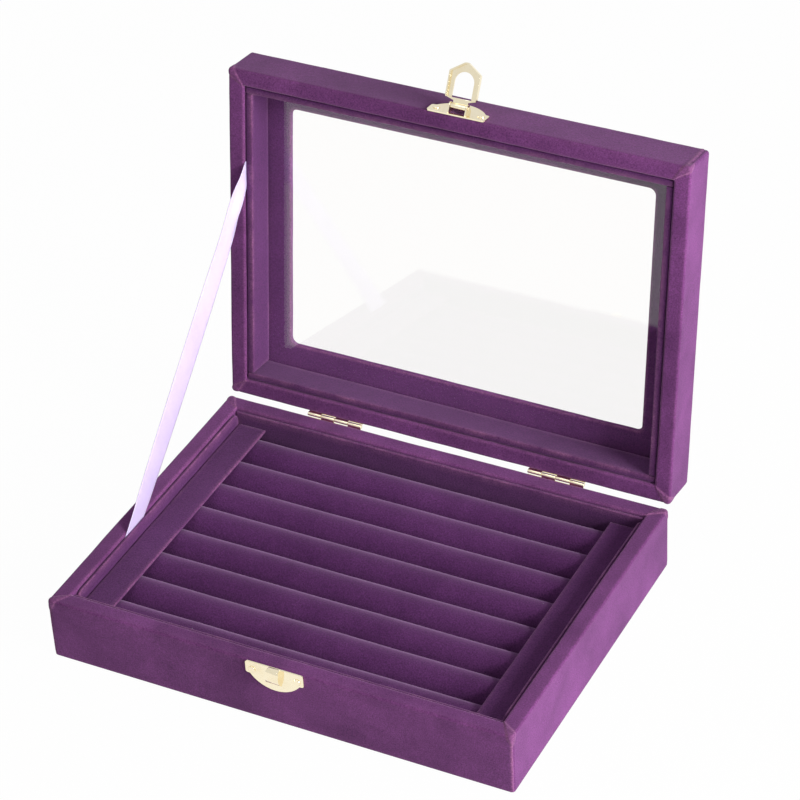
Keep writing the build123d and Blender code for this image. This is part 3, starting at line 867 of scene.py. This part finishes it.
def nap_group():
    """Velvet pile: brushed patches, short fibres, edges painted lighter for rubbed pile and painted
    highlight, and a little lint.
    """
    name = "Velvet nap"
    if name in bpy.data.node_groups:
        return bpy.data.node_groups[name]
    tree, given, result = group(
        name,
        (
            ("Pile", "NodeSocketColor", (0.1, 0.03, 0.1, 1)),
            ("Brushed", "NodeSocketColor", (0.2, 0.06, 0.2, 1)),
            ("Worn", "NodeSocketColor", (0.3, 0.1, 0.25, 1)),
            ("Patches", "NodeSocketFloat", 0.5),
            ("Lint", "NodeSocketFloat", 0.5),
        ),
        SURFACE,
    )
    link = tree.links.new
    coords = tree.nodes.new("ShaderNodeTexCoord").outputs["Object"]
    worn = tree.nodes.new("ShaderNodeAttribute")
    worn.attribute_name = "worn"
    clouds = ranged(tree, noise_in(tree, coords, CLOUDS, 4, 0.6, 0.6), 0.36, 0.68)
    streaks = ranged(tree, noise_in(tree, coords, STREAKS, 3, 0.6, 0.3), 0.35, 0.72)
    pattern = weighted(tree, clouds, 0.75, streaks, 0.25)
    brushed = maths(tree, "MULTIPLY", pattern, given.outputs["Patches"])
    pile = blended(tree, brushed, given.outputs["Pile"], given.outputs["Brushed"])
    edge_mottle = ranged(tree, noise_in(tree, coords, EDGE_MOTTLE, 3, 0.65), 0.30, 0.62, 0.35, 1.0)
    # Edges painted lighter from the point attribute, broken up by noise: rubbed pile and painted highlight.
    rub_and_highlight = maths(tree, "MULTIPLY", worn.outputs["Fac"], edge_mottle)
    pile = blended(tree, rub_and_highlight, pile, given.outputs["Worn"])
    fibres = noise_in(tree, coords, FIBRES, 3, 0.75)
    specks = ranged(tree, fibres, 0.30, 0.70, 0.55, 1.48)
    grey = tree.nodes.new("ShaderNodeCombineColor")
    for socket in grey.inputs[:3]:
        link(specks, socket)
    pile = blended(tree, 1.0, pile, grey.outputs[0], "MULTIPLY")
    dots = tree.nodes.new("ShaderNodeTexVoronoi")
    dots.inputs["Scale"].default_value = LINT
    link(coords, dots.inputs["Vector"])
    near = ranged(tree, dots.outputs["Distance"], 0.035, 0.012)
    scarce = ranged(tree, noise_in(tree, coords, LINT_PATCHES, 1), 0.60, 0.66)
    lint = maths(tree, "MULTIPLY", maths(tree, "MULTIPLY", near, scarce), given.outputs["Lint"])
    link(blended(tree, lint, pile, (0.75, 0.70, 0.78, 1)), result.inputs["Color"])
    link(ranged(tree, fibres, 0.2, 0.8, 0.82, 1.0), result.inputs["Roughness"])
    tufts = noise_in(tree, coords, TUFTS, 2)
    link(weighted(tree, fibres, 0.5, tufts, 0.5), result.inputs["Height"])
    return tree


def material(name):
    """A new node material, with its tree, its Principled shader and its output node."""
    made = bpy.data.materials.new(name)
    made.use_nodes = True
    tree = made.node_tree
    tree.nodes.clear()
    shader = tree.nodes.new("ShaderNodeBsdfPrincipled")
    output = tree.nodes.new("ShaderNodeOutputMaterial")
    tree.links.new(shader.outputs[0], output.inputs["Surface"])
    return made, tree, shader, output


def placed(tree, source, values):
    """A node group placed in a material, with its own values."""
    made = tree.nodes.new("ShaderNodeGroup")
    made.node_tree = source
    set_inputs(made, values)
    return made


def surfaced(tree, shader, source, strength, distance):
    """Feed a shader's colour, roughness and bump from a placed group."""
    tree.links.new(source.outputs["Color"], shader.inputs["Base Color"])
    tree.links.new(source.outputs["Roughness"], shader.inputs["Roughness"])
    bump = tree.nodes.new("ShaderNodeBump")
    set_inputs(bump, {"Strength": strength, "Distance": distance})
    tree.links.new(source.outputs["Height"], bump.inputs["Height"])
    tree.links.new(bump.outputs[0], shader.inputs["Normal"])


def velvet(name, pile, brushed, patches, lint):
    """A velvet; patches is how strongly it is brushed, and lint how much of that it holds."""
    if name in bpy.data.materials:
        return bpy.data.materials[name]
    made, tree, shader, _ = material(name)
    look = {"Pile": (*pile, 1), "Brushed": (*brushed, 1), "Worn": (*colours().velvet_wear_and_highlight, 1)}
    nap = placed(tree, nap_group(), {**look, "Patches": patches, "Lint": lint})
    surfaced(tree, shader, nap, 0.55, 0.25 * MM)
    set_inputs(shader, {"Specular IOR Level": 0.12, "Sheen Weight": 0.5, "Sheen Roughness": 0.45})
    set_inputs(shader, {"Sheen Tint": (0.80, 0.52, 0.85, 1)})
    return made


def cover_velvet():
    c = colours()
    return velvet("Cover velvet", c.velvet, c.velvet_light, 0.85, 0.7)


def liner_velvet():
    c = colours()
    return velvet("Liner velvet", c.lining, c.lining_light, 0.6, 0.8)


def roll_velvet():
    c = colours()
    return velvet("Roll velvet", c.roll, c.roll_light, 0.6, 1.0)


def mottle_group():
    """Mottling between two colours, with fine scratches or fibres in roughness and height."""
    name = "Mottle"
    if name in bpy.data.node_groups:
        return bpy.data.node_groups[name]
    tree, given, result = group(
        name,
        (
            ("Main", "NodeSocketColor", (0.5, 0.5, 0.5, 1)),
            ("Other", "NodeSocketColor", (0.3, 0.3, 0.3, 1)),
            ("Patch Scale", "NodeSocketFloat", 60.0),
            ("Grain Scale", "NodeSocketFloat", 900.0),
            ("Amount", "NodeSocketFloat", 0.5),
            ("Smooth", "NodeSocketFloat", 0.2),
            ("Rough", "NodeSocketFloat", 0.4),
        ),
        SURFACE,
    )
    link = tree.links.new
    coords = tree.nodes.new("ShaderNodeTexCoord").outputs["Object"]
    clouds = noise_in(tree, coords, given.outputs["Patch Scale"], 4, 0.65, 0.4)
    grain = noise_in(tree, coords, given.outputs["Grain Scale"], 3, 0.6)
    patches, specks = ranged(tree, clouds, 0.42, 0.72), ranged(tree, grain, 0.4, 0.7)
    pattern = weighted(tree, patches, 0.65, specks, 0.35)
    share = maths(tree, "MULTIPLY", pattern, given.outputs["Amount"])
    link(blended(tree, share, given.outputs["Main"], given.outputs["Other"]), result.inputs["Color"])
    rough = tree.nodes.new("ShaderNodeMapRange")
    link(share, rough.inputs["Value"])
    link(given.outputs["Smooth"], rough.inputs["To Min"])
    link(given.outputs["Rough"], rough.inputs["To Max"])
    link(rough.outputs["Result"], result.inputs["Roughness"])
    link(grain, result.inputs["Height"])
    return tree


def mottled(name, main, other, patch, grain, amount, smooth, rough, bump, metal=0.0):
    """A material of two mottled colours; smooth and rough are the ends of its roughness."""
    if name in bpy.data.materials:
        return bpy.data.materials[name]
    made, tree, shader, _ = material(name)
    look = {"Main": (*main, 1), "Other": (*other, 1), "Patch Scale": patch, "Grain Scale": grain}
    look |= {"Amount": amount, "Smooth": smooth, "Rough": rough}
    source = placed(tree, mottle_group(), look)
    surfaced(tree, shader, source, bump, 0.05 * MM)
    shader.inputs["Metallic"].default_value = metal
    return made


def brass():
    c = colours()
    return mottled("Plated brass", c.brass, c.brass_dull, 140, 1500, 0.45, 0.10, 0.34, 0.25, 1.0)


def satin():
    c = colours()
    made = mottled("Satin ribbon", c.ribbon, c.ribbon_shade, 45, 2600, 0.6, 0.34, 0.52, 0.3)
    shader = made.node_tree.nodes["Principled BSDF"]
    set_inputs(shader, {"Sheen Weight": 0.3, "Sheen Roughness": 0.35})
    set_inputs(shader, {"Coat Weight": 0.15, "Coat Roughness": 0.35})
    return made


def pane_glass():
    if "Window glass" in bpy.data.materials:
        return bpy.data.materials["Window glass"]
    made, tree, shader, output = material("Window glass")
    set_inputs(shader, {"Transmission Weight": 1.0, "Base Color": (*colours().glass, 1), "IOR": 1.5})
    coords = tree.nodes.new("ShaderNodeTexCoord").outputs["Object"]
    smear = ranged(tree, noise_in(tree, coords, 14, 3, 0.6, 1.2), 0.5, 0.8, 0.0, 0.045)
    tree.links.new(smear, shader.inputs["Roughness"])
    clear = tree.nodes.new("ShaderNodeBsdfTransparent")
    clear.inputs["Color"].default_value = (0.93, 0.93, 0.93, 1)
    path = tree.nodes.new("ShaderNodeLightPath")
    mix = tree.nodes.new("ShaderNodeMixShader")
    tree.links.new(path.outputs["Is Shadow Ray"], mix.inputs[0])
    tree.links.new(shader.outputs[0], mix.inputs[1])
    tree.links.new(clear.outputs[0], mix.inputs[2])
    tree.links.new(mix.outputs[0], output.inputs["Surface"])
    return made


def paint(thing, finish):
    thing.data.materials.clear()
    thing.data.materials.append(finish)


def wear(piece, finish, body, slot, *nodes):
    """Give a piece its finish and its body, and hide the CAD nodes it stands for; slot is not used."""
    paint(piece, finish)
    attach(piece, body)
    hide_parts(*nodes)


# ---- CAD nodes that are kept: metal, glass, boards and card ----
def soften_edges(node, width, angle=30):
    """Round a metal node's edges and shade it smooth."""
    thing = frame["nodes"][node]
    weld = thing.modifiers.new("Weld", "WELD")
    weld.merge_threshold = 0.004 * MM
    bevel = thing.modifiers.new("Edge", "BEVEL")
    bevel.width = width
    bevel.segments = 3
    bevel.limit_method = "ANGLE"
    bevel.angle_limit = math.radians(angle)
    bevel.harden_normals = True
    return thing


METAL = [node for node in frame["nodes"] if node.startswith(("catch", "latch", "hasp", "hinge"))]


class RINGBOX_OT_finish_metal(bpy.types.Operator):
    """Round and plate the hinges, catch, latch and hasp"""

    bl_idname = "ringbox.finish_metal"
    bl_label = "Finish the metal"

    def execute(self, context):
        for node in METAL:
            paint(soften_edges(node, sizes().metal_edge), brass())
        return {"FINISHED"}


class RINGBOX_OT_finish_glass(bpy.types.Operator):
    """Glaze the window"""

    bl_idname = "ringbox.finish_glass"
    bl_label = "Glaze the window"

    def execute(self, context):
        paint(frame["nodes"]["glass_pane"], pane_glass())
        return {"FINISHED"}


def shaded(colour_value, factor):
    return tuple(v * factor for v in colour_value)


class RINGBOX_OT_finish_boards(bpy.types.Operator):
    """Finish the wall boards, the floor, the card and the backing sheets"""

    bl_idname = "ringbox.finish_boards"
    bl_label = "Finish the boards"

    def execute(self, context):
        c = colours()
        dark_board, dark_card, light_paper = shaded(c.board, 0.6), shaded(c.card, 0.75), shaded(c.paper, 1.7)
        board = mottled("Fibre board", c.board, dark_board, 300, 2200, 0.8, 0.7, 0.9, 0.5)
        card = mottled("Grey card", c.card, dark_card, 120, 1800, 0.6, 0.8, 0.95, 0.3)
        paper = mottled("Dark paper", c.paper, light_paper, 200, 2600, 0.6, 0.7, 0.9, 0.4)
        for node, thing in frame["nodes"].items():
            if "_wall_" in node or node == "base_floor_board":
                paint(thing, board)
            elif node == "window_frame_card":
                paint(thing, card)
            elif node in ("base_bottom_sheet", "roll_backing_card"):
                paint(thing, paper)
        return {"FINISHED"}


# ---- Stage ----
PHOTO_AZIMUTH, PHOTO_ELEVATION, PHOTO_ROLL = 28.354, 35.968, -3.2015  # degrees
PHOTO_DISTANCE, PHOTO_SHIFT_X, PHOTO_SHIFT_Y = 1309.886 * MM, 14.023 * MM, 83.693 * MM
PHOTO_LENS, SENSOR_WIDTH = 147.4783, 36.0  # mm
LIGHTS = (  # name, place, size, power
    ("key_light", (1.30, -0.26, 0.50), 0.8, 23.0),
    ("top_light", (-0.15, -0.25, 1.35), 1.1, 2.6),
)
LIT_WHITE, SEEN_WHITE = 0.27, 1.0  # strength of the surroundings, as light and as background
FLOOR_GLOW = 0.98
HALF_FLOOR = 4.0


def photo_camera():
    """The camera that took the photograph, fitted to the box's corners."""
    a, e, r = (math.radians(v) for v in (PHOTO_AZIMUTH, PHOTO_ELEVATION, PHOTO_ROLL))
    back = Vector((math.sin(a) * math.cos(e), -math.cos(a) * math.cos(e), math.sin(e)))
    right = Vector((0, 0, 1)).cross(back).normalized()
    up = back.cross(right)
    turn_right = right * math.cos(r) + up * math.sin(r)
    turn_up = up * math.cos(r) - right * math.sin(r)
    where = turn_right * PHOTO_SHIFT_X + turn_up * PHOTO_SHIFT_Y + back * PHOTO_DISTANCE
    data = bpy.data.cameras.new("photo_camera")
    data.lens, data.sensor_width = PHOTO_LENS, SENSOR_WIDTH
    data.clip_start, data.clip_end = 0.05, 50
    camera = bpy.data.objects.new("photo_camera", data)
    rotation = Matrix((turn_right, turn_up, back)).transposed().to_4x4()
    camera.matrix_world = Matrix.Translation(where) @ rotation
    bpy.context.scene.collection.objects.link(camera)
    bpy.context.scene.camera = camera


def soft_light(name, place, size, power):
    """A round area light that looks at the middle of the case."""
    data = bpy.data.lights.new(name, "AREA")
    data.shape, data.size, data.energy = "DISK", size, power
    lamp = bpy.data.objects.new(name, data)
    lamp.location = place
    aim = Vector((0, 0, 0.08)) - Vector(place)
    lamp.rotation_euler = aim.to_track_quat("-Z", "Y").to_euler()
    bpy.context.scene.collection.objects.link(lamp)


def seen_white(tree):
    """1 for rays that see the background straight, in a reflection or through glass."""
    path = tree.nodes.new("ShaderNodeLightPath")
    seen = maths(tree, "MAXIMUM", path.outputs["Is Camera Ray"], path.outputs["Is Glossy Ray"])
    return maths(tree, "MAXIMUM", seen, path.outputs["Is Transmission Ray"])


class RINGBOX_OT_set_stage(bpy.types.Operator):
    """Set the pale floor, the soft lights, the white surroundings and the camera"""

    bl_idname = "ringbox.set_stage"
    bl_label = "Set the stage"

    def execute(self, context):
        photo_camera()
        for light in LIGHTS:
            soft_light(*light)
        world = bpy.data.worlds.new("white_surroundings")
        world.use_nodes = True
        tree = world.node_tree
        tree.nodes.clear()
        white = tree.nodes.new("ShaderNodeBackground")
        strength = ranged(tree, seen_white(tree), 0, 1, LIT_WHITE, SEEN_WHITE)
        tree.links.new(strength, white.inputs["Strength"])
        output = tree.nodes.new("ShaderNodeOutputWorld")
        tree.links.new(white.outputs[0], output.inputs["Surface"])
        context.scene.world = world

        corners = [(x * HALF_FLOOR, y * HALF_FLOOR, 0) for x, y in ((-1, -1), (1, -1), (1, 1), (-1, 1))]
        floor = mesh_object("floor", corners, [(0, 1, 2, 3)])
        made, tree, shader, output = material("Seamless white")
        set_inputs(shader, {"Base Color": (*colours().floor, 1), "Roughness": 0.9})
        glow = tree.nodes.new("ShaderNodeEmission")
        mix = tree.nodes.new("ShaderNodeMixShader")
        tree.links.new(maths(tree, "MULTIPLY", seen_white(tree), FLOOR_GLOW), mix.inputs[0])
        tree.links.new(shader.outputs[0], mix.inputs[1])
        tree.links.new(glow.outputs[0], mix.inputs[2])
        tree.links.new(mix.outputs[0], output.inputs["Surface"])
        paint(floor, made)
        context.scene.view_settings.view_transform = "Standard"
        return {"FINISHED"}


OPERATORS = (
    RINGBOX_OT_set_stage,
    RINGBOX_OT_finish_boards,
    RINGBOX_OT_finish_metal,
    RINGBOX_OT_finish_glass,
    RINGBOX_OT_cover_base,
    RINGBOX_OT_cover_lid,
    RINGBOX_OT_line_base,
    RINGBOX_OT_line_lid,
    RINGBOX_OT_line_window,
    RINGBOX_OT_lay_rolls,
    RINGBOX_OT_lay_end_strips,
    RINGBOX_OT_string_ribbon,
)


class RINGBOX_PT_panel(bpy.types.Panel):
    """Lists what builds the ring display box"""

    bl_idname = "RINGBOX_PT_panel"
    bl_label = "Ring Display Box"
    bl_space_type = "VIEW_3D"
    bl_region_type = "UI"
    bl_category = "Ring Box"

    def draw(self, context):
        for operator in OPERATORS:
            self.layout.operator(operator.bl_idname)
        for settings in (
            context.scene.ring_box_sizes,
            context.scene.ring_box_colours,
            context.scene.ring_box_choices,
        ):
            box = self.layout.box()
            for key in settings.__annotations__:
                box.prop(settings, key)


GROUPS = {
    "ring_box_sizes": RingBoxSizes,
    "ring_box_colours": RingBoxColours,
    "ring_box_choices": RingBoxChoices,
}


def register():
    for made in (*GROUPS.values(), *OPERATORS, RINGBOX_PT_panel):
        bpy.utils.register_class(made)
    for name, made in GROUPS.items():
        setattr(bpy.types.Scene, name, PointerProperty(type=made))


def unregister():
    for name in GROUPS:
        delattr(bpy.types.Scene, name)
    for made in reversed((*GROUPS.values(), *OPERATORS, RINGBOX_PT_panel)):
        bpy.utils.unregister_class(made)


def main():
    register()
    for operator in OPERATORS:
        call = getattr(bpy.ops.ringbox, operator.bl_idname.split(".")[1])
        if call() != {"FINISHED"}:
            raise RuntimeError(f"{operator.bl_label} did not finish")
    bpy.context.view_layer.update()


if __name__ == "__main__":
    main()
